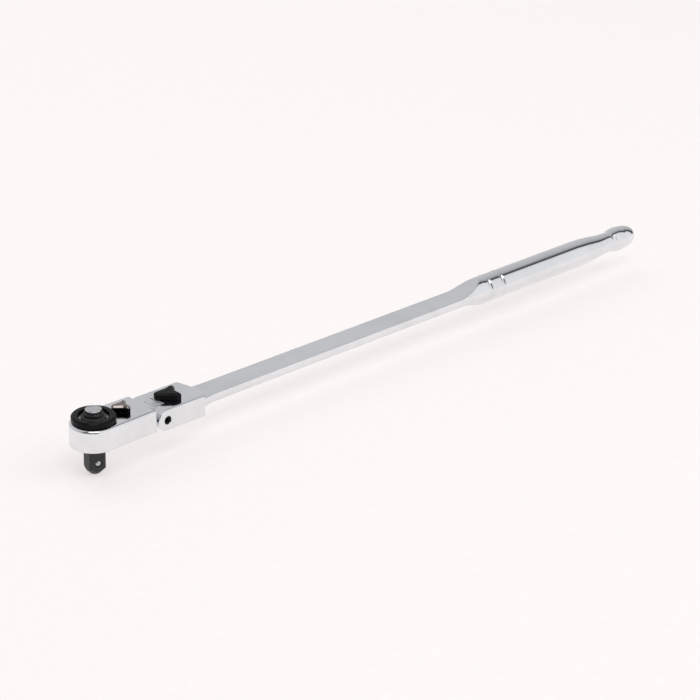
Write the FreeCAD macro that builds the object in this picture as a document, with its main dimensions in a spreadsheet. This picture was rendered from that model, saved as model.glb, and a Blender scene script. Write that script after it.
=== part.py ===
import FreeCAD, Part
import Sketcher
import math
import os

# Ratchet wrench with a locking flex head and a quick-release drive square.
# Frame: origin on the drive axis at the shoulder that a socket seats against,
# +X along the handle to the end of the grip, +Z to the side with the button and the lever.

V = FreeCAD.Vector

DIMENSIONS = {
    # drive square and gear
    "square_side": 12.7,
    "square_length": 17.8,
    "square_corner": 1.3,
    "square_turn": -15,
    "tip_radius": 3.7,
    "boss_radius": 9.25,
    "gear_radius": 14,
    "gear_bottom": 8.6,
    "gear_top": 18,
    "gear_teeth": 72,
    "tooth_depth": 0.6,
    "hub_radius": 9.95,
    "neck_radius": 9.1,
    "hub_top": 27,
    # quick release
    "ball_radius": 2.6,
    "ball_out": 0.9,
    "ball_level": -8.6,
    "rod_radius": 2,
    "rod_waist": 0.95,
    "cap_radius": 5.95,
    "cap_top": 32.2,
    # thumb ring
    "ring_outer": 16.25,
    "ring_inner": 11.35,
    "ring_bottom": 22.9,
    "ring_top": 27.6,
    # head
    "head_radius": 18,
    "head_bottom": 4.8,
    "head_top": 22.5,
    "head_rear": 43.8,
    "head_edge": 2.4,
    "tang_width": 12.6,
    "tang_radius": 8.8,
    "tang_pitch": 15,
    "tang_neck": 7,
    # reversing lever
    "lever_axis": 25,
    "lever_stem": 3.5,
    "lever_bottom": 22.8,
    "lever_top": 27.8,
    "lever_turn": -20,
    # pawl
    "pawl_axis": 17.6,
    "pawl_turn": 4,
    # flex joint and clevis
    "pivot_along": 54.5,
    "pivot_level": 11.2,
    "pivot_radius": 3.25,
    "clevis_width": 33.4,
    "clevis_depth": 16.6,
    "clevis_back": 38.5,
    "slot_width": 13.2,
    # lock
    "lock_axis": 13.5,
    "lock_stem": 4.8,
    "lock_pin": 3.4,
    "lock_turn": -18,
    "lock_height": 4.9,
    "lock_travel": 2.1,
    "channel_width": 10.4,
    "channel_depth": 7.4,
    # handle
    "shaft_radius": 10.4,
    "shaft_depth": 6.2,
    "collar_along": 345.5,
    "collar_radius": 11.45,
    "grip_radius": 11.45,
    "neck_along": 500.5,
    "grip_neck": 8.55,
    "bulb_radius": 9.9,
    "handle_length": 532.3,
    "fit_gap": 0.05,
}

doc = FreeCAD.newDocument("ratchet_wrench")
sheet = doc.addObject("Spreadsheet::Sheet", "dims")
for row, (alias, number) in enumerate(DIMENSIONS.items(), start=1):
    sheet.set(f"A{row}", alias)
    sheet.set(f"B{row}", str(number))
    sheet.setAlias(f"B{row}", alias)
doc.recompute()

NODES = []


def linked(text):
    """Write a formula of dimension names as an expression on the sheet."""
    words = sorted(DIMENSIONS, key=len, reverse=True)
    for number, word in enumerate(words):
        text = text.replace(word, f"<{number}>")
    for number, word in enumerate(words):
        text = text.replace(f"<{number}>", f"dims.{word}")
    return text


def size(text):
    """The value of a formula of dimension names."""
    return float(sheet.evalExpression(linked(str(text)).replace("dims.", "")))


def place(item, along="0", across="0", level="0", turn="0"):
    item.setExpression("Placement.Base.x", linked(along))
    item.setExpression("Placement.Base.y", linked(across))
    item.setExpression("Placement.Base.z", linked(level))
    item.Placement.Rotation = FreeCAD.Rotation(V(0, 0, 1), 0)
    item.setExpression("Placement.Rotation.Angle", linked(turn))


def new_body(label, **where):
    body = doc.addObject("PartDesign::Body", label)
    body.Label = label
    place(body, **where)
    NODES.append(body)
    return body


def new_sketch(body, name, role="XY_Plane", offset="0"):
    plane = [item for item in body.Origin.OriginFeatures if item.Role == role][0]
    sketch = body.newObject("Sketcher::SketchObject", f"{body.Name}_{name}")
    sketch.AttachmentSupport = [(plane, "")]
    sketch.MapMode = "FlatFace"
    sketch.setExpression("AttachmentOffset.Base.z", linked(offset))
    return sketch


def held(kind, *where):
    """A sketch constraint whose last value is a formula of dimension names."""
    return Sketcher.Constraint(kind, *where[:-1], size(where[-1])), where[-1]


def constrain(sketch, pairs):
    """Add constraints in one step and bind those whose formula names a dimension."""
    first = sketch.ConstraintCount
    sketch.addConstraint([pair[0] for pair in pairs])
    for number, (_, formula) in enumerate(pairs, start=first):
        if any(word in formula for word in DIMENSIONS):
            sketch.setExpression(f"Constraints[{number}]", linked(formula))


def pinned(item, end, corner):
    """Hold one point of an edge at a corner given by two formulas; a plain 0 is the axis itself."""
    pairs = []
    for kind, axis, formula in zip(("DistanceX", "DistanceY"), (-2, -1), corner):
        if formula == "0":
            pairs.append((Sketcher.Constraint("PointOnObject", item, end, axis), ""))
        else:
            pairs.append(held(kind, -1, 1, item, end, formula))
    return pairs


def outline(sketch, corners):
    """Close a profile through its corners; a third value is the radius of the arc to the next one,
    positive where the arc bulges to the right of the way round."""
    first = sketch.GeometryCount
    points = [V(size(corner[0]), size(corner[1]), 0) for corner in corners]
    backward = [len(corner) == 3 and size(corner[2]) < 0 for corner in corners]
    pairs = []
    for number, corner in enumerate(corners):
        item = first + number
        following = (number + 1) % len(corners)
        start, end = points[number], points[following]
        entry = 2 if backward[number] else 1
        next_entry = 2 if backward[following] else 1
        pairs += pinned(item, entry, corner)
        joint = (item, 3 - entry, first + following, next_entry)
        pairs.append((Sketcher.Constraint("Coincident", *joint), ""))
        if len(corner) == 2:
            sketch.addGeometry(Part.LineSegment(start, end), False)
            continue
        radius = size(corner[2])
        chord = end - start
        side = V(chord.y, -chord.x, 0).normalize() * math.copysign(1, radius)
        rise = abs(radius) - math.sqrt(max(radius ** 2 - (chord.Length / 2) ** 2, 0))
        middle = (start + end) * 0.5 + side * rise
        arc = Part.Arc(end, middle, start) if backward[number] else Part.Arc(start, middle, end)
        sketch.addGeometry(arc, False)
        pairs.append(held("Radius", item, corner[2].lstrip("-")))
    constrain(sketch, pairs)


def circle(sketch, radius, along="0", across="0"):
    centre = V(size(along), size(across), 0)
    item = sketch.addGeometry(Part.Circle(centre, V(0, 0, 1), size(radius)), False)
    constrain(sketch, pinned(item, 3, (along, across)) + [held("Radius", item, radius)])


def feature(body, kind, sketch, name):
    item = body.newObject(f"PartDesign::{kind}", f"{sketch.Name}_{name}")
    item.Profile = sketch
    sketch.Visibility = False
    return item


def settle(item):
    doc.recompute()
    if "Invalid" in item.State:
        raise RuntimeError(f"{item.Name}: {item.getStatusString()}")


def pad(body, sketch, length, both=False, back=False):
    item = feature(body, "Pad", sketch, "pad")
    item.setExpression("Length", linked(length))
    item.Midplane = both
    item.Reversed = back
    settle(item)


def pocket(body, sketch, length, both=False, back=False):
    before = body.Shape.Volume
    item = feature(body, "Pocket", sketch, "pocket")
    item.setExpression("Length", linked(length))
    item.Midplane = both
    item.Reversed = back
    settle(item)
    if not body.Shape.Volume < before:
        raise RuntimeError(f"{item.Name} cuts nothing")
    return item


def turn_about(body, sketch, axis, kind="Revolution"):
    item = feature(body, kind, sketch, "turn")
    item.ReferenceAxis = (sketch, [axis])
    item.Angle = 360
    settle(item)


def dress(body, kind, radius, chosen):
    """Fillet or chamfer the edges of the body's tip that pass a test."""
    tip = body.Tip
    names = [f"Edge{n}" for n, edge in enumerate(tip.Shape.Edges, start=1) if chosen(edge)]
    if not names:
        raise RuntimeError(f"{body.Label}: no edge to dress")
    item = body.newObject(f"PartDesign::{kind}", f"{body.Name}_{kind.lower()}_{len(body.Group)}")
    item.Base = (tip, names)
    item.setExpression("Radius" if kind == "Fillet" else "Size", linked(radius))
    settle(item)


def in_plane(edge, axis, level, slack=0.01):
    box = edge.BoundBox
    low = {"x": box.XMin, "y": box.YMin, "z": box.ZMin}[axis]
    high = {"x": box.XMax, "y": box.YMax, "z": box.ZMax}[axis]
    return abs(low - level) < slack and abs(high - level) < slack


def polar(body, source, count):
    item = body.newObject("PartDesign::PolarPattern", f"{source.Name}_pattern")
    item.Originals = [source]
    item.Axis = (source.Profile[0], ["N_Axis"])
    item.Angle = 360
    item.Occurrences = count
    body.Tip = item
    settle(item)


def spring(label, radius, wire, length, turns, start, way):
    """A coil spring swept along a helix from its start, along its way."""
    rise = length - 2 * wire
    path = Part.Wire(Part.makeLongHelix(rise / turns, rise, radius, 0).Edges)
    section = Part.Wire(Part.makeCircle(wire, V(radius, 0, 0), V(0, 1, 0)))
    item = doc.addObject("Part::Feature", label)
    item.Label = label
    item.Shape = path.makePipeShell([section], True, True)
    item.Placement = FreeCAD.Placement(start + way * wire, FreeCAD.Rotation(V(0, 0, 1), way))
    NODES.append(item)


def c_ring(label, inner, outer, thickness, gap, **where):
    """An open snap ring."""
    body = new_body(label, **where)
    sketch = new_sketch(body, "ring")
    circle(sketch, outer)
    circle(sketch, inner)
    pad(body, sketch, thickness)
    mouth = new_sketch(body, "mouth")
    outline(mouth, [("0", f"-{gap}"), (f"{outer} + 1", f"-{gap}"), (f"{outer} + 1", gap), ("0", gap)])
    pocket(body, mouth, f"{thickness} + 1", both=True)


# ---------------------------------------------------------------- handle

def handle():
    """Forged handle in one piece: clevis, flat shaft, round grip. Local origin on the flex pivot."""
    body = new_body("handle", along="pivot_along", level="pivot_level")
    profile = new_sketch(body, "round", "XZ_Plane")
    outline(profile, [
        ("24", "0"),
        ("24", "shaft_radius + 3.2"),
        ("35", "shaft_radius + 3.2", "60"),
        ("55", "shaft_radius"),
        ("collar_along - 34", "shaft_radius", "160"),
        ("collar_along - 4", "collar_radius"),
        ("collar_along", "collar_radius"),
        ("collar_along + 0.6", "collar_radius - 0.9"),
        ("collar_along + 2.4", "collar_radius - 0.9"),
        ("collar_along + 3", "collar_radius"),
        ("collar_along + 15", "collar_radius"),
        ("collar_along + 15.6", "collar_radius - 0.9"),
        ("collar_along + 17.4", "collar_radius - 0.9"),
        ("collar_along + 18", "grip_radius"),
        ("neck_along - 42", "grip_radius", "-190"),
        ("neck_along - 18", "grip_radius - 1.6", "120"),
        ("neck_along", "grip_neck", "5"),
        ("neck_along + 5", "grip_neck + 0.6", "-24"),
        ("neck_along + 17", "bulb_radius", "-28"),
        ("handle_length - 5", "bulb_radius - 1.8", "-7"),
        ("handle_length", "0"),
    ])
    turn_about(body, profile, "H_Axis")
    for side in (1, -1):
        flat = new_sketch(body, "flat_top" if side == 1 else "flat_bottom", "XZ_Plane")
        corners = [
            ("20", "shaft_depth / 2"),
            ("collar_along - 30", "shaft_depth / 2", "70"),
            ("collar_along - 5", "collar_radius + 0.5"),
            ("collar_along - 5", "collar_radius + 6"),
            ("20", "collar_radius + 6"),
        ]
        if side == -1:
            mirrored = [(corner[0], f"-({corner[1]})") for corner in corners]
            mirrored[1] = mirrored[1] + ("-70",)
            corners = mirrored
        outline(flat, corners)
        pocket(body, flat, "40", both=True)
    plan = new_sketch(body, "plan")
    outline(plan, [
        ("-9", "-clevis_width / 2"),
        ("clevis_back - 4", "-clevis_width / 2", "3"),
        ("clevis_back - 1.6", "-clevis_width / 2 + 2.2", "46"),
        ("clevis_back - 1.6", "clevis_width / 2 - 2.2", "3"),
        ("clevis_back - 4", "clevis_width / 2"),
        ("-9", "clevis_width / 2"),
    ])
    pad(body, plan, "clevis_depth", both=True)
    half = size("clevis_depth / 2")
    back = size("clevis_back")

    def rim(edge):
        level = in_plane(edge, "z", half) or in_plane(edge, "z", -half)
        return level and edge.BoundBox.XMax > -8.9

    dress(body, "Fillet", "1.6", rim)
    nose = new_sketch(body, "nose", "XZ_Plane")
    outline(nose, [
        ("0", "clevis_depth / 2", "clevis_depth / 2"),
        ("-clevis_depth / 2", "0", "clevis_depth / 2"),
        ("0", "-clevis_depth / 2"),
        ("0", "-clevis_depth"),
        ("-20", "-clevis_depth"),
        ("-20", "clevis_depth"),
        ("0", "clevis_depth"),
    ])
    pocket(body, nose, "60", both=True)
    slot = new_sketch(body, "slot", "XZ_Plane")
    outline(slot, [
        ("tang_radius + 0.4", "-clevis_depth"),
        ("tang_radius + 0.4", "0", "tang_radius + 0.4"),
        ("0", "tang_radius + 0.4"),
        ("-20", "tang_radius + 0.4"),
        ("-20", "-clevis_depth"),
    ])
    pocket(body, slot, "slot_width", both=True)
    channel = new_sketch(body, "channel", "XZ_Plane")
    outline(channel, [
        ("4", "-channel_depth / 2"),
        ("29", "-channel_depth / 2"),
        ("29", "channel_depth / 2"),
        ("4", "channel_depth / 2"),
    ])
    pocket(body, channel, "channel_width", both=True)
    well = new_sketch(body, "well")
    circle(well, "lock_stem + fit_gap", "lock_axis")
    pocket(body, well, "20", back=True)
    bore = new_sketch(body, "bore", "XZ_Plane", "clevis_width / 2")
    circle(bore, "pivot_radius + fit_gap")
    pocket(body, bore, "clevis_width / 2 + 13.5")


def pivot_screw():
    """Headless screw that the head hinges on, set a little below the near ear's face."""
    body = new_body("pivot_screw", along="pivot_along", level="pivot_level")
    profile = new_sketch(body, "profile", "YZ_Plane")
    outline(profile, [
        ("-clevis_width / 2 + 0.8", "0"),
        ("-clevis_width / 2 + 0.8", "pivot_radius - 0.4"),
        ("-clevis_width / 2 + 1.2", "pivot_radius"),
        ("12.7", "pivot_radius"),
        ("13.2", "pivot_radius - 0.5"),
        ("13.2", "0"),
    ])
    turn_about(body, profile, "H_Axis")
    socket = new_sketch(body, "socket", "XZ_Plane", "clevis_width / 2")
    corners = []
    for number in range(6):
        angle = math.radians(60 * number)
        corners.append((f"{2.1 * math.cos(angle):.4f}", f"{2.1 * math.sin(angle):.4f}"))
    outline(socket, corners)
    pocket(body, socket, "4.2")


# ---------------------------------------------------------------- flex lock

def lock_pawl():
    """Toothed slide that locks the flex joint, drawn back here by its travel."""
    body = new_body("lock_pawl", along="pivot_along + lock_travel", level="pivot_level")
    side = new_sketch(body, "side", "XZ_Plane")
    outline(side, [
        ("7", "-channel_depth / 2 + 0.1"),
        ("20", "-channel_depth / 2 + 0.1"),
        ("20", "channel_depth / 2 - 0.1"),
        ("7", "channel_depth / 2 - 0.1"),
    ])
    pad(body, side, "channel_width - 0.3", both=True)
    face = new_sketch(body, "face", "XZ_Plane")
    circle(face, "tang_radius - 0.95")
    pocket(body, face, "20", both=True)
    pitch = size("tang_pitch")
    spaces = {
        "middle": ((7, 6.1), (9.3, 3.7), (9.3, -3.7), (7, -6.1)),
        "upper": ((7, 35), (9.3, 35), (9.3, pitch - 3.7), (7, pitch - 6.1)),
        "lower": ((7, 6.1 - pitch), (9.3, 3.7 - pitch), (9.3, -35), (7, -35)),
    }
    for name, points in spaces.items():
        space = new_sketch(body, f"{name}_space", "XZ_Plane")
        corners = []
        for radius, degrees in points:
            angle = math.radians(degrees)
            corners.append((f"{radius * math.cos(angle):.4f}", f"{radius * math.sin(angle):.4f}"))
        outline(space, corners)
        pocket(body, space, "20", both=True)
    window = new_sketch(body, "window", offset="-1")
    outline(window, [
        ("lock_axis - lock_travel / 2 - 1.35", "1.6"),
        ("lock_axis - lock_travel / 2 + 1.35", "1.6"),
        ("lock_axis - lock_travel / 2 + 1.35", "channel_width"),
        ("lock_axis - lock_travel / 2 - 1.35", "channel_width"),
    ])
    pocket(body, window, "6", back=True)


def thumb_block(body, reach, half_width, back, level, depth, corner, bevel):
    """Thumb block in plan: blunt nose to -X, hollow flanks, two wings with a notch between them."""
    plan = new_sketch(body, "plan", offset=level)
    outline(plan, [
        (f"-{reach}", f"{half_width} * 0.3"),
        (f"-{reach}", f"-{half_width} * 0.3"),
        ("0", f"-{half_width} * 0.66"),
        (f"{back} * 0.5", f"-{half_width}"),
        (f"{back}", f"-{half_width} * 0.9"),
        (f"{back} * 0.7", "0"),
        (f"{back}", f"{half_width} * 0.9"),
        (f"{back} * 0.5", f"{half_width}"),
        ("0", f"{half_width} * 0.66"),
    ])
    pad(body, plan, depth)
    dress(body, "Fillet", corner, lambda edge: edge.BoundBox.ZLength > 1)
    top = size(level) + size(depth)
    dress(body, "Chamfer", bevel, lambda edge: in_plane(edge, "z", top))


def lock_lever():
    """Black lock lever on the clevis; its eccentric draws the slide back when it is turned."""
    body = new_body("lock_lever", along="pivot_along + lock_axis",
                    level="pivot_level + clevis_depth / 2", turn="lock_turn")
    thumb_block(body, "10", "8.8", "8.6", "0.3", "lock_height", "1.6", "1.4")
    stem = new_sketch(body, "stem", offset="0.4")
    circle(stem, "lock_stem")
    pad(body, stem, "clevis_depth / 2 - channel_depth / 2 + 0.4", back=True)
    cam = new_sketch(body, "cam", offset="-clevis_depth / 2 + channel_depth / 2 + 0.4")
    circle(cam, "1.3", "0", "lock_pin")
    pad(body, cam, "4.8", back=True)


# ---------------------------------------------------------------- head

def head():
    """Chrome head block: round end with the gear housing, shoulder and toothed tang."""
    body = new_body("head")
    plan = new_sketch(body, "plan", offset="head_bottom")
    outline(plan, [
        ("0", "head_radius", "head_radius"),
        ("-head_radius", "0", "head_radius"),
        ("0", "-head_radius"),
        ("head_rear", "-clevis_width / 2"),
        ("head_rear", "clevis_width / 2"),
    ])
    pad(body, plan, "head_top - head_bottom")
    low, high, rear = size("head_bottom"), size("head_top"), size("head_rear")

    def rim(level):
        return lambda edge: in_plane(edge, "z", level) and not in_plane(edge, "x", rear)

    dress(body, "Fillet", "head_edge", rim(high))
    dress(body, "Fillet", "1.4", rim(low))
    tang = new_sketch(body, "tang", "XZ_Plane")
    reach = "sqrt(tang_radius ^ 2 - tang_neck ^ 2)"
    outline(tang, [
        ("head_rear - 3", "pivot_level - tang_neck"),
        (f"pivot_along - {reach}", "pivot_level - tang_neck", "tang_radius"),
        ("pivot_along", "pivot_level - tang_radius", "tang_radius"),
        ("pivot_along + tang_radius", "pivot_level", "tang_radius"),
        ("pivot_along", "pivot_level + tang_radius", "tang_radius"),
        (f"pivot_along - {reach}", "pivot_level + tang_neck"),
        ("head_rear - 3", "pivot_level + tang_neck"),
    ])
    pad(body, tang, "tang_width", both=True)
    pitch = size("tang_pitch")
    for number in range(16):
        middle = math.radians(pitch * (number - 7.5))
        space = new_sketch(body, f"space_{number}", "XZ_Plane")
        corners = []
        for radius, spread in ((7.7, 2.4), (9.4, 4.6), (9.4, -4.6), (7.7, -2.4)):
            angle = middle + math.radians(spread)
            corners.append((f"pivot_along + {radius * math.cos(angle):.4f}",
                            f"pivot_level + {radius * math.sin(angle):.4f}"))
        outline(space, corners)
        pocket(body, space, "tang_width + 1", both=True)
    bore = new_sketch(body, "bore", "XZ_Plane")
    circle(bore, "pivot_radius + fit_gap", "pivot_along", "pivot_level")
    pocket(body, bore, "tang_width + 1", both=True)
    housing = new_sketch(body, "housing", "XZ_Plane")
    outline(housing, [
        ("0", "head_bottom - 1"),
        ("15", "head_bottom - 1"),
        ("15", "head_bottom + 0.5"),
        ("15.7", "head_bottom + 0.5"),
        ("15.7", "head_bottom + 1.7"),
        ("15", "head_bottom + 1.7"),
        ("15", "gear_bottom - 0.1"),
        ("gear_radius + 0.4", "gear_bottom - 0.1"),
        ("gear_radius + 0.4", "gear_top + 0.2"),
        ("hub_radius + fit_gap", "gear_top + 0.2"),
        ("hub_radius + fit_gap", "head_top + 1"),
        ("0", "head_top + 1"),
    ])
    turn_about(body, housing, "V_Axis", "Groove")
    cavity = new_sketch(body, "cavity", offset="gear_bottom + 0.6")
    outline(cavity, [("10", "-9.6"), ("21", "-9.6"), ("24.5", "-5"), ("30.6", "-5"),
                     ("30.6", "5"), ("24.5", "5"), ("21", "9.6"), ("10", "9.6")])
    pocket(body, cavity, "gear_top - gear_bottom - 0.8", back=True)
    stem = new_sketch(body, "stem", offset="head_top")
    circle(stem, "lever_stem + fit_gap", "lever_axis")
    pocket(body, stem, "head_top - gear_top + 1")
    seal = new_sketch(body, "seal", offset="head_top")
    circle(seal, "lever_stem + 1.2", "lever_axis")
    pocket(body, seal, "1.3")


def cover_plate():
    body = new_body("cover_plate", level="head_bottom + 1.8")
    sketch = new_sketch(body, "ring")
    circle(sketch, "14.9")
    circle(sketch, "boss_radius + 0.1")
    pad(body, sketch, "gear_bottom - head_bottom - 2")


def lever_seal():
    ring = doc.addObject("Part::Torus", "lever_seal")
    ring.Label = "lever_seal"
    ring.setExpression("Radius1", linked("lever_stem + 0.58"))
    ring.Radius2 = 0.5
    place(ring, along="lever_axis", level="head_top - 0.7")
    NODES.append(ring)


def pawl():
    """Double-ended pawl with a row of teeth on each horn."""
    body = new_body("pawl", along="pawl_axis", level="gear_bottom + 0.9", turn="pawl_turn")
    plan = new_sketch(body, "plan")
    outline(plan, [
        ("-5", "-8.4", "15.15"),
        ("-5", "8.4"),
        ("-2.2", "9"),
        ("2.8", "3.4"),
        ("2.8", "-3.4"),
        ("-2.2", "-9"),
    ])
    pad(body, plan, "gear_top - gear_bottom - 1.4")
    for number, angle in enumerate((-30, -25, -20, 20, 25, 30)):
        tooth = new_sketch(body, f"tooth_{number}")
        corners = []
        for radius, spread in ((15.4, -2), (15.4, 2), (14.2, 0)):
            way = math.radians(angle + spread)
            corners.append((f"{radius * math.cos(way):.4f} - pawl_axis", f"{radius * math.sin(way):.4f}"))
        outline(tooth, corners)
        pad(body, tooth, "gear_top - gear_bottom - 1.4")
    hole = new_sketch(body, "hole")
    circle(hole, "1.55")
    pocket(body, hole, "30", both=True)


def pawl_pin():
    pin = doc.addObject("Part::Cylinder", "pawl_pin")
    pin.Label = "pawl_pin"
    pin.Radius = 1.5
    pin.setExpression("Height", linked("gear_top - gear_bottom - 0.9"))
    place(pin, along="pawl_axis", level="gear_bottom + 0.7")
    NODES.append(pin)


def reverse_lever():
    """Reversing lever: thumb plate on a stem that reaches the pawl chamber."""
    body = new_body("reverse_lever", along="lever_axis", level="0", turn="lever_turn")
    thumb_block(body, "7.2", "6.4", "5.7", "lever_bottom", "lever_top - lever_bottom", "1.3", "1.1")
    stem = new_sketch(body, "stem", offset="lever_bottom + 0.3")
    circle(stem, "lever_stem")
    pad(body, stem, "lever_bottom - gear_bottom - 1.4", back=True)
    groove = new_sketch(body, "groove", offset="gear_top - 1.6")
    circle(groove, "lever_stem + 1")
    circle(groove, "lever_stem - 0.6")
    pocket(body, groove, "0.7", back=True)
    cross = new_sketch(body, "cross", "YZ_Plane", "2.5")
    circle(cross, "1.3", "0", "gear_bottom + 5")
    pocket(body, cross, "8")


def lever_plunger():
    body = new_body("lever_plunger", along="lever_axis", turn="lever_turn")
    side = new_sketch(body, "side", "YZ_Plane", "-4.2")
    circle(side, "1.2", "0", "gear_bottom + 5")
    pad(body, side, "3.6")


def lever_spring():
    turn = math.radians(size("lever_turn"))
    way = V(math.cos(turn), math.sin(turn), 0)
    start = V(size("lever_axis"), 0, size("gear_bottom + 5")) - way * 0.6
    spring("lever_spring", 0.9, 0.2, 3, 5, start, way)


# ---------------------------------------------------------------- drive

def drive_gear():
    """Forged gear with its hub, boss and drive square in one piece."""
    body = new_body("drive_gear", turn="square_turn")
    profile = new_sketch(body, "profile", "XZ_Plane")
    outline(profile, [
        ("0", "-1"),
        ("6", "-1"),
        ("6", "0"),
        ("boss_radius - 0.6", "0"),
        ("boss_radius", "0.6"),
        ("boss_radius", "gear_bottom"),
        ("gear_radius", "gear_bottom"),
        ("gear_radius", "gear_top"),
        ("hub_radius", "gear_top"),
        ("hub_radius", "ring_bottom"),
        ("neck_radius", "ring_bottom"),
        ("neck_radius", "hub_top - 0.5"),
        ("neck_radius - 0.5", "hub_top"),
        ("0", "hub_top"),
    ])
    turn_about(body, profile, "V_Axis")
    space = new_sketch(body, "space", offset="gear_bottom - 0.5")
    outline(space, [
        ("gear_radius - tooth_depth", "0"),
        ("gear_radius + 0.2", "-0.75"),
        ("gear_radius + 0.2", "0.75"),
    ])
    cut = pocket(body, space, "gear_top - gear_bottom + 1", back=True)
    polar(body, cut, int(size("gear_teeth")))
    square = new_sketch(body, "square")
    half, corner = "square_side / 2", "square_side / 2 - square_corner"
    outline(square, [
        (f"-{half}", f"-({corner})"), (f"-({corner})", f"-{half}"),
        (corner, f"-{half}"), (half, f"-({corner})"),
        (half, corner), (corner, half),
        (f"-({corner})", half), (f"-{half}", corner),
    ])
    pad(body, square, "square_length", back=True)
    tip = new_sketch(body, "tip", "XZ_Plane")
    outline(tip, [
        ("tip_radius", "-square_length"),
        ("tip_radius + 6", "-square_length"),
        ("tip_radius + 6", "-square_length + 6"),
    ])
    turn_about(body, tip, "V_Axis", "Groove")
    core = new_sketch(body, "core", "XZ_Plane")
    outline(core, [
        ("0", "-square_length + 3.4"),
        ("rod_radius + fit_gap", "-square_length + 3.4"),
        ("rod_radius + fit_gap", "9"),
        ("4", "9"),
        ("4", "21.6"),
        ("cap_radius + 0.1", "21.6"),
        ("cap_radius + 0.1", "hub_top + 1"),
        ("0", "hub_top + 1"),
    ])
    turn_about(body, core, "V_Axis", "Groove")
    window = new_sketch(body, "window", "XZ_Plane")
    circle(window, "ball_radius + fit_gap", "0", "ball_level")
    pocket(body, window, "12", back=True)


def thumb_ring():
    """Black ring fixed to the gear's hub, turned with a thumb to spin the drive."""
    body = new_body("thumb_ring", turn="square_turn")
    profile = new_sketch(body, "profile", "XZ_Plane")
    outline(profile, [
        ("neck_radius + 0.02", "ring_bottom"),
        ("ring_outer - 0.5", "ring_bottom"),
        ("ring_outer", "ring_bottom + 0.5"),
        ("ring_outer", "ring_top - 1.1"),
        ("ring_outer - 1.1", "ring_top"),
        ("ring_inner + 0.3", "ring_top"),
        ("ring_inner", "ring_top - 0.3"),
        ("ring_inner", "ring_bottom + 1.5"),
        ("neck_radius + 0.02", "ring_bottom + 1.5"),
    ])
    turn_about(body, profile, "V_Axis")


def button_collar():
    body = new_body("button_collar", level="hub_top")
    sketch = new_sketch(body, "ring")
    circle(sketch, "cap_radius + 1.3")
    circle(sketch, "cap_radius + 0.1")
    pad(body, sketch, "1.9")


def release_cap():
    """Silver quick-release cap with a dished top and a skirt that slides in the hub."""
    body = new_body("release_cap")
    profile = new_sketch(body, "profile", "XZ_Plane")
    outline(profile, [
        ("0", "cap_top - 5"),
        ("cap_radius - 1.2", "cap_top - 5"),
        ("cap_radius - 1.2", "cap_top - 8"),
        ("cap_radius", "cap_top - 8"),
        ("cap_radius", "cap_top - 0.7", "0.7"),
        ("cap_radius - 0.7", "cap_top"),
        ("cap_radius - 1.2", "cap_top"),
        ("cap_radius - 1.6", "cap_top - 0.25"),
        ("0", "cap_top - 0.25"),
    ])
    turn_about(body, profile, "V_Axis")


def release_rod():
    """Rod under the cap; its cone lets the ball draw in evenly as the cap is pressed."""
    body = new_body("release_rod")
    profile = new_sketch(body, "profile", "XZ_Plane")
    outline(profile, [
        ("0", "ball_level - 3.2"),
        ("rod_radius", "ball_level - 3.2"),
        ("rod_radius", "ball_level - 0.5"),
        ("rod_waist", "ball_level + 2.05"),
        ("rod_waist", "ball_level + 4.4"),
        ("rod_radius", "ball_level + 5.4"),
        ("rod_radius", "cap_top - 5.05"),
        ("0", "cap_top - 5.05"),
    ])
    turn_about(body, profile, "V_Axis")


def detent_ball():
    ball = doc.addObject("Part::Sphere", "detent_ball")
    ball.Label = "detent_ball"
    ball.setExpression("Radius", linked("ball_radius"))
    reach = "(square_side / 2 + ball_out - ball_radius)"
    place(ball, along=f"{reach} * cos(square_turn - 90)", across=f"{reach} * sin(square_turn - 90)",
          level="ball_level")
    NODES.append(ball)


handle()
pivot_screw()
lock_pawl()
lock_lever()
spring("lock_spring", 2.2, 0.35, 6, 7,
       V(size("pivot_along + 20.1 + lock_travel"), 0, size("pivot_level")), V(1, 0, 0))
head()
cover_plate()
c_ring("cover_circlip", "13.4", "15.5", "1.1", "2.2", level="head_bottom + 0.55", turn="180")
pawl()
pawl_pin()
reverse_lever()
c_ring("lever_clip", "lever_stem - 0.55", "lever_stem + 1.1", "0.6", "1.4",
       along="lever_axis", level="gear_top - 1.55", turn="lever_turn")
lever_seal()
lever_plunger()
lever_spring()
drive_gear()
thumb_ring()
c_ring("ring_clip", "neck_radius + 0.02", "neck_radius + 1.5", "0.9", "1.8",
       level="ring_bottom + 1.55", turn="60")
button_collar()
release_cap()
release_rod()
spring("release_spring", 3.2, 0.35, 17.9, 9, V(0, 0, 9.1), V(0, 0, 1))
detent_ball()

doc.recompute()
for item in doc.Objects:
    if {"Invalid", "Error"} & set(item.State):
        raise RuntimeError(f"{item.Label} failed: {item.State}")
os.makedirs("parts", exist_ok=True)
for node in NODES:
    if node.Shape.isNull() or not node.Shape.isValid():
        raise RuntimeError(f"{node.Label} has no valid shape")
    node.Shape.exportStep(f"parts/{node.Label}.step")
    print(f"{node.Label}: {node.Shape.Volume:.0f} mm3, {len(node.Shape.Solids)} solid")
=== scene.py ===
import math

import bmesh
import bpy
from mathutils import Matrix, Vector


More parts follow.
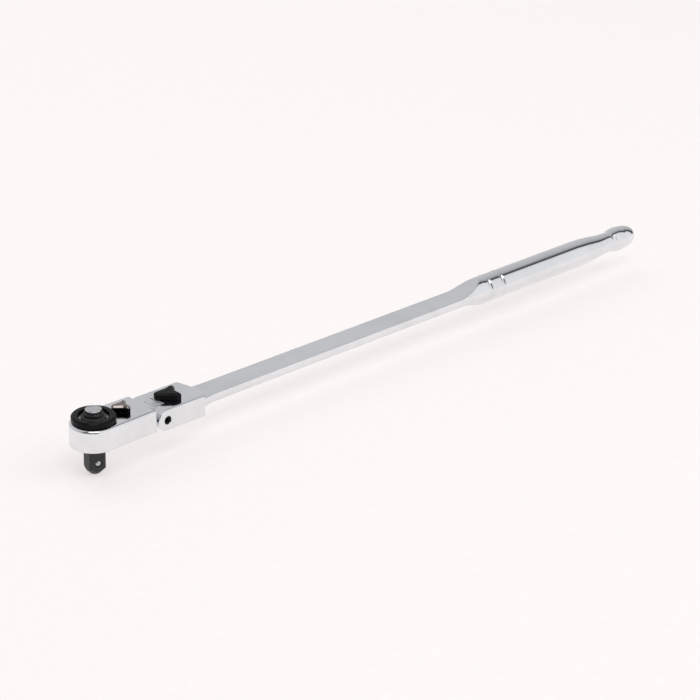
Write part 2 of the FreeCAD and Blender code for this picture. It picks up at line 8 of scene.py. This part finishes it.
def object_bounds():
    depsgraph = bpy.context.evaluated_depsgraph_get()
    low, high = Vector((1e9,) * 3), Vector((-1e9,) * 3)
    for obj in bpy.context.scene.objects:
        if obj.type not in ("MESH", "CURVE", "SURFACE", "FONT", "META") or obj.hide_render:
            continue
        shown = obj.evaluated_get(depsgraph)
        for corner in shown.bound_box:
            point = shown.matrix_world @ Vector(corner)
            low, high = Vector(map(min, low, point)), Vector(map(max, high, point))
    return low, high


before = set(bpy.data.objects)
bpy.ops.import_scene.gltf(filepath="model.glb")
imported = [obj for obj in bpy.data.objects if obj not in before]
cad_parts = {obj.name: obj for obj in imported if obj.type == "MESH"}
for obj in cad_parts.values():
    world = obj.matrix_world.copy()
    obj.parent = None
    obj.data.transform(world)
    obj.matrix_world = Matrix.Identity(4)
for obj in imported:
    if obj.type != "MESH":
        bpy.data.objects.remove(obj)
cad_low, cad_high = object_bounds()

# ---------------------------------------------------------------- handle
# One forging of alloy steel: clevis, flat shaft and round grip, ground, polished along its length
# and plated with bright chrome. The plate keeps faint polishing lines and thumb marks.


def new_finish(name, colour, metallic, roughness):
    """A material with a Principled shader whose plain numbers sit on the shader itself."""
    finish = bpy.data.materials.new(name)
    finish.use_nodes = True
    shader = finish.node_tree.nodes["Principled BSDF"]
    shader.inputs["Base Color"].default_value = (*colour, 1)
    shader.inputs["Metallic"].default_value = metallic
    shader.inputs["Roughness"].default_value = roughness
    return finish, shader


def polish_group():
    """Polishing lines along X, smudges and fine pits: masks and a height, from Object coordinates."""
    group = bpy.data.node_groups.new("polish", "ShaderNodeTree")
    face = group.interface
    for name, usual in (("Line Length", 12.0), ("Line Pitch", 2200.0), ("Smudge Size", 28.0)):
        socket = face.new_socket(name, in_out="INPUT", socket_type="NodeSocketFloat")
        socket.default_value = usual
    for name in ("Lines", "Smudge", "Height"):
        face.new_socket(name, in_out="OUTPUT", socket_type="NodeSocketFloat")
    nodes, links = group.nodes, group.links
    given = nodes.new("NodeGroupInput")
    out = nodes.new("NodeGroupOutput")
    place = nodes.new("ShaderNodeTexCoord")
    stretch = nodes.new("ShaderNodeCombineXYZ")
    links.new(given.outputs["Line Length"], stretch.inputs["X"])
    links.new(given.outputs["Line Pitch"], stretch.inputs["Y"])
    links.new(given.outputs["Line Pitch"], stretch.inputs["Z"])
    scaled = nodes.new("ShaderNodeVectorMath")
    scaled.operation = "MULTIPLY"
    links.new(place.outputs["Object"], scaled.inputs[0])
    links.new(stretch.outputs["Vector"], scaled.inputs[1])
    lines = nodes.new("ShaderNodeTexNoise")
    lines.inputs["Scale"].default_value = 1
    lines.inputs["Detail"].default_value = 3
    links.new(scaled.outputs["Vector"], lines.inputs["Vector"])
    smudge = nodes.new("ShaderNodeTexNoise")
    smudge.inputs["Detail"].default_value = 5
    smudge.inputs["Roughness"].default_value = 0.6
    smudge.inputs["Distortion"].default_value = 0.8
    links.new(place.outputs["Object"], smudge.inputs["Vector"])
    links.new(given.outputs["Smudge Size"], smudge.inputs["Scale"])
    spread = nodes.new("ShaderNodeMapRange")
    spread.inputs["From Min"].default_value = 0.42
    spread.inputs["From Max"].default_value = 0.68
    links.new(smudge.outputs["Fac"], spread.inputs["Value"])
    pits = nodes.new("ShaderNodeTexVoronoi")
    pits.inputs["Scale"].default_value = 900
    links.new(place.outputs["Object"], pits.inputs["Vector"])
    few = nodes.new("ShaderNodeMapRange")
    few.inputs["From Min"].default_value = 0.0
    few.inputs["From Max"].default_value = 0.12
    few.inputs["To Min"].default_value = 1.0
    few.inputs["To Max"].default_value = 0.0
    links.new(pits.outputs["Distance"], few.inputs["Value"])
    depth = nodes.new("ShaderNodeMath")
    depth.operation = "MULTIPLY_ADD"
    depth.inputs[1].default_value = -0.4
    links.new(few.outputs["Result"], depth.inputs[0])
    links.new(lines.outputs["Fac"], depth.inputs[2])
    links.new(lines.outputs["Fac"], out.inputs["Lines"])
    links.new(spread.outputs["Result"], out.inputs["Smudge"])
    links.new(depth.outputs["Value"], out.inputs["Height"])
    return group


polish = polish_group()


def polished(name, colour, tint, low, high, depth, length=12.0, pitch=2200.0, size=28.0, edge=0.0002):
    """A polished or brushed metal with softened edges; the polish group's masks vary it."""
    finish, shader = new_finish(name, colour, 1.0, low)
    nodes, links = finish.node_tree.nodes, finish.node_tree.links
    marks = nodes.new("ShaderNodeGroup")
    marks.node_tree = polish
    marks.inputs["Line Length"].default_value = length
    marks.inputs["Line Pitch"].default_value = pitch
    marks.inputs["Smudge Size"].default_value = size
    shade = nodes.new("ShaderNodeMix")
    shade.data_type = "RGBA"
    shade.inputs["A"].default_value = (*colour, 1)
    shade.inputs["B"].default_value = (*tint, 1)
    links.new(marks.outputs["Smudge"], shade.inputs["Factor"])
    links.new(shade.outputs["Result"], shader.inputs["Base Color"])
    rough = nodes.new("ShaderNodeMapRange")
    rough.inputs["To Min"].default_value = low
    rough.inputs["To Max"].default_value = high
    both = nodes.new("ShaderNodeMath")
    both.operation = "MULTIPLY"
    links.new(marks.outputs["Lines"], both.inputs[0])
    links.new(marks.outputs["Smudge"], both.inputs[1])
    links.new(both.outputs["Value"], rough.inputs["Value"])
    links.new(rough.outputs["Result"], shader.inputs["Roughness"])
    rounded = nodes.new("ShaderNodeBevel")
    rounded.samples = 8
    rounded.inputs["Radius"].default_value = edge
    bump = nodes.new("ShaderNodeBump")
    bump.inputs["Strength"].default_value = depth
    bump.inputs["Distance"].default_value = 0.00001
    links.new(rounded.outputs["Normal"], bump.inputs["Normal"])
    links.new(marks.outputs["Height"], bump.inputs["Height"])
    links.new(bump.outputs["Normal"], shader.inputs["Normal"])
    return finish


def dress(finish, *nodes):
    """Gives a finish to whole CAD nodes."""
    for name in nodes:
        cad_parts[name].material_slots[0].material = finish


chrome = polished(
    "bright_chrome", (0.80, 0.81, 0.83), (0.74, 0.75, 0.77),
    0.045, 0.16, 0.25, edge=0.0015
)
dress(chrome, "handle")

# ---------------------------------------------------------------- head
# Forged head block that houses the gear and ends in the toothed tang. It is ground, polished
# and chromed like the handle, and hangs in the clevis on the pivot screw.

dress(chrome, "head")

# ---------------------------------------------------------------- flex joint
# Black oxide pivot screw through clevis and tang, and the hardened, phosphated slide that locks
# the tang's teeth. The small turned pins, rods and the ball inside the head are bright steel.

steel = polished(
    "turned_steel", (0.56, 0.56, 0.57), (0.42, 0.42, 0.43),
    0.16, 0.34, 0.5, 300.0, 300.0, 90.0
)
dress(steel, "pawl_pin", "lever_plunger", "release_rod", "detent_ball")


def coated(name, colour, wear_and_shade, low, high, grain, depth, gloss=0.5):
    """A thin dark coating on steel: fine grain, rubbed patches and a soft gloss."""
    finish, shader = new_finish(name, colour, 0.0, low)
    shader.inputs["Specular IOR Level"].default_value = gloss
    nodes, links = finish.node_tree.nodes, finish.node_tree.links
    place = nodes.new("ShaderNodeTexCoord")
    fine = nodes.new("ShaderNodeTexNoise")
    fine.inputs["Scale"].default_value = grain
    fine.inputs["Detail"].default_value = 4
    links.new(place.outputs["Object"], fine.inputs["Vector"])
    broad = nodes.new("ShaderNodeTexNoise")
    broad.inputs["Scale"].default_value = 120
    broad.inputs["Detail"].default_value = 6
    broad.inputs["Roughness"].default_value = 0.65
    links.new(place.outputs["Object"], broad.inputs["Vector"])
    rubbed = nodes.new("ShaderNodeMapRange")
    rubbed.inputs["From Min"].default_value = 0.48
    rubbed.inputs["From Max"].default_value = 0.72
    links.new(broad.outputs["Fac"], rubbed.inputs["Value"])
    shade = nodes.new("ShaderNodeMix")
    shade.data_type = "RGBA"
    shade.inputs["A"].default_value = (*colour, 1)
    shade.inputs["B"].default_value = (*wear_and_shade, 1)
    links.new(rubbed.outputs["Result"], shade.inputs["Factor"])
    links.new(shade.outputs["Result"], shader.inputs["Base Color"])
    rough = nodes.new("ShaderNodeMapRange")
    rough.inputs["From Min"].default_value = 0.3
    rough.inputs["From Max"].default_value = 0.7
    rough.inputs["To Min"].default_value = low
    rough.inputs["To Max"].default_value = high
    links.new(fine.outputs["Fac"], rough.inputs["Value"])
    links.new(rough.outputs["Result"], shader.inputs["Roughness"])
    bump = nodes.new("ShaderNodeBump")
    bump.inputs["Strength"].default_value = depth
    bump.inputs["Distance"].default_value = 0.00003
    links.new(fine.outputs["Fac"], bump.inputs["Height"])
    links.new(bump.outputs["Normal"], shader.inputs["Normal"])
    return finish


phosphate = coated(
    "black_phosphate", (0.035, 0.035, 0.037), (0.05, 0.05, 0.053),
    0.42, 0.6, 2400, 0.5, 0.25
)
dress(phosphate, "drive_gear", "cover_plate", "lock_pawl", "pawl")
oxide = coated("black_oxide", (0.008, 0.008, 0.008), (0.016, 0.016, 0.016), 0.36, 0.5, 1800, 0.3, 0.1)
dress(oxide, "pivot_screw")

# ---------------------------------------------------------------- lock lever
# Steel thumb lever on top of the clevis, turned by hand to draw the toothed slide. It has a satin
# black coating, rubbed a little grey where the thumb rests.

lock_black = coated(
    "lock_black", (0.006, 0.0055, 0.0065), (0.012, 0.0115, 0.013),
    0.34, 0.48, 1600, 0.25, 0.1
)
dress(lock_black, "lock_lever")

# ---------------------------------------------------------------- reversing lever
# Pressed steel lever in the head's top, held by a clip and sealed by a black rubber ring. Its top
# is plated with dark nickel, which has a warm brown cast; below a ragged height its sides are painted
# black, as painted shade under the top.

# Painted shade: below this height, made ragged by noise, the lever's colour is painted near black.
black_below = 0.0261
shade_line_jitter = 0.0006
nickel = polished(
    "dark_nickel", (0.26, 0.225, 0.21), (0.15, 0.13, 0.12),
    0.16, 0.34, 0.6, 700.0, 700.0, 160.0
)
tree = nickel.node_tree
links = tree.links
shader = tree.nodes["Principled BSDF"]
plated = shader.inputs["Base Color"].links[0].from_socket
place = tree.nodes.new("ShaderNodeTexCoord")
split = tree.nodes.new("ShaderNodeSeparateXYZ")
links.new(place.outputs["Object"], split.inputs["Vector"])
ragged = tree.nodes.new("ShaderNodeTexNoise")
ragged.inputs["Scale"].default_value = 500
links.new(place.outputs["Object"], ragged.inputs["Vector"])
edge = tree.nodes.new("ShaderNodeMath")
edge.operation = "MULTIPLY_ADD"
edge.inputs[1].default_value = shade_line_jitter
links.new(ragged.outputs["Fac"], edge.inputs[0])
links.new(split.outputs["Z"], edge.inputs[2])
# Mask of the painted shade: near black below the ragged height, plated nickel above it.
wear_and_shade = tree.nodes.new("ShaderNodeMapRange")
wear_and_shade.inputs["From Min"].default_value = black_below
wear_and_shade.inputs["From Max"].default_value = black_below + 0.0004
links.new(edge.outputs["Value"], wear_and_shade.inputs["Value"])
both = tree.nodes.new("ShaderNodeMix")
both.data_type = "RGBA"
both.inputs["A"].default_value = (0.006, 0.006, 0.006, 1)
links.new(plated, both.inputs["B"])
links.new(wear_and_shade.outputs["Result"], both.inputs["Factor"])
links.new(both.outputs["Result"], shader.inputs["Base Color"])
dress(nickel, "reverse_lever")
nitrile = coated("nitrile", (0.012, 0.012, 0.012), (0.02, 0.02, 0.02), 0.5, 0.7, 3000, 0.4)
dress(nitrile, "lever_seal")

# ---------------------------------------------------------------- thumb ring
# Turned steel ring round the gear's hub, for spinning the drive by thumb. It has a smooth black
# electro-coat.

ring_black = coated(
    "ring_black", (0.004, 0.004, 0.0045), (0.008, 0.0078, 0.0085),
    0.24, 0.34, 1200, 0.15, 0.1
)
dress(ring_black, "thumb_ring")

# ---------------------------------------------------------------- quick release
# Polished release cap in a black nylon bush on the drive's axis. The clips and springs of the
# whole tool are oiled spring steel.

spring_steel = polished(
    "spring_steel", (0.36, 0.36, 0.37), (0.25, 0.25, 0.26),
    0.25, 0.42, 0.5, 900.0, 900.0, 200.0
)
dress(
    spring_steel, "cover_circlip", "lever_clip", "ring_clip",
    "release_spring", "lever_spring", "lock_spring"
)
nylon = coated("black_nylon", (0.01, 0.01, 0.011), (0.018, 0.018, 0.019), 0.4, 0.55, 2000, 0.3)
dress(nylon, "button_collar")
satin = polished(
    "satin_cap", (0.62, 0.62, 0.64), (0.55, 0.55, 0.57),
    0.12, 0.28, 0.4, 900.0, 900.0, 60.0
)
dress(satin, "release_cap")

# ---------------------------------------------------------------- studio
# Plain pale floor, lit through from below to thin the shadow, and a soft surround of two screens:
# a pale one in front and a greyer one behind, with a dark gap between them.

floor_gap = 0.0002
floor_mesh = bpy.data.meshes.new("floor")
floor = bpy.data.objects.new("floor", floor_mesh)
bpy.context.scene.collection.objects.link(floor)
plane = bmesh.new()
bmesh.ops.create_grid(plane, x_segments=1, y_segments=1, size=9)
bmesh.ops.translate(plane, verts=plane.verts, vec=(0, 0, cad_low[2] - floor_gap))
plane.to_mesh(floor_mesh)
plane.free()
paper = coated("floor_paper", (0.42, 0.413, 0.41), (0.44, 0.433, 0.43), 0.6, 0.75, 60, 0.02, 0.1)
lit = paper.node_tree.nodes["Principled BSDF"]
lit.inputs["Emission Color"].default_value = (1.0, 0.942, 0.924, 1)
lit.inputs["Emission Strength"].default_value = 0.577
floor_mesh.materials.append(paper)

world = bpy.data.worlds.new("studio")
bpy.context.scene.world = world
world.use_nodes = True
sky, links = world.node_tree.nodes, world.node_tree.links
way = sky.new("ShaderNodeTexCoord")
split = sky.new("ShaderNodeSeparateXYZ")
links.new(way.outputs["Generated"], split.inputs["Vector"])
shades = sky.new("ShaderNodeValToRGB")
across = sky.new("ShaderNodeMapRange")
across.inputs["From Min"].default_value = -1.0
links.new(split.outputs["Y"], across.inputs["Value"])
links.new(across.outputs["Result"], shades.inputs["Fac"])
ramp = shades.color_ramp
ramp.elements[0].position = 0.0
ramp.elements[0].color = (0.95, 0.95, 0.96, 1)
ramp.elements[1].position = 1.0
ramp.elements[1].color = (0.68, 0.68, 0.69, 1)
for spot, shade in ((0.36, 0.86), (0.395, 0.1), (0.47, 0.08), (0.51, 0.4), (0.62, 0.55), (0.83, 0.64)):
    stop = ramp.elements.new(spot)
    stop.color = (shade, shade, shade * 1.015, 1)
towards_camera = (-0.62, -0.66, 0.43)
facing = sky.new("ShaderNodeVectorMath")
facing.operation = "DOT_PRODUCT"
facing.inputs[1].default_value = towards_camera
links.new(way.outputs["Generated"], facing.inputs[0])
screen = sky.new("ShaderNodeMapRange")
screen.interpolation_type = "SMOOTHSTEP"
screen.inputs["From Min"].default_value = 0.8
screen.inputs["From Max"].default_value = 0.95
screen.inputs["To Min"].default_value = 1.0
screen.inputs["To Max"].default_value = 0.12
links.new(facing.outputs["Value"], screen.inputs["Value"])
dimmed = sky.new("ShaderNodeVectorMath")
dimmed.operation = "SCALE"
links.new(shades.outputs["Color"], dimmed.inputs[0])
links.new(screen.outputs["Result"], dimmed.inputs["Scale"])
links.new(dimmed.outputs["Vector"], sky["Background"].inputs["Color"])
sky["Background"].inputs["Strength"].default_value = 1.0

middle = Vector((0.15, 0, 0))
for name, place, size, power, shown in (
    ("key", (-0.7, -0.9, 2.1), 1.6, 14, True),
    ("fill", (1.3, -1.2, 1.9), 2.2, 12, False),
    ("back", (0.6, 1.6, 1.9), 2.2, 12, False),
):
    lamp = bpy.data.lights.new(name, "AREA")
    lamp.energy = power
    lamp.shape = "DISK"
    lamp.size = size
    light = bpy.data.objects.new(name, lamp)
    light.location = place
    light.rotation_euler = (middle - Vector(place)).to_track_quat("-Z", "Y").to_euler()
    light.visible_glossy = shown
    bpy.context.scene.collection.objects.link(light)

bpy.context.scene.view_settings.view_transform = "Standard"

lens = bpy.data.cameras.new("camera")
lens.sensor_width = 36
lens.lens = 128.6
lens.clip_end = 50
camera = bpy.data.objects.new("camera", lens)
camera.location = (-0.9849, -1.265, 0.7958)
heading = Matrix.Rotation(math.radians(-44.37), 3, "Z")
look_down = Matrix.Rotation(math.radians(90 - 24.17), 3, "X")
roll = Matrix.Rotation(math.radians(1), 3, "Z")
camera.rotation_euler = (heading @ look_down @ roll).to_euler()
bpy.context.scene.collection.objects.link(camera)
bpy.context.scene.camera = camera
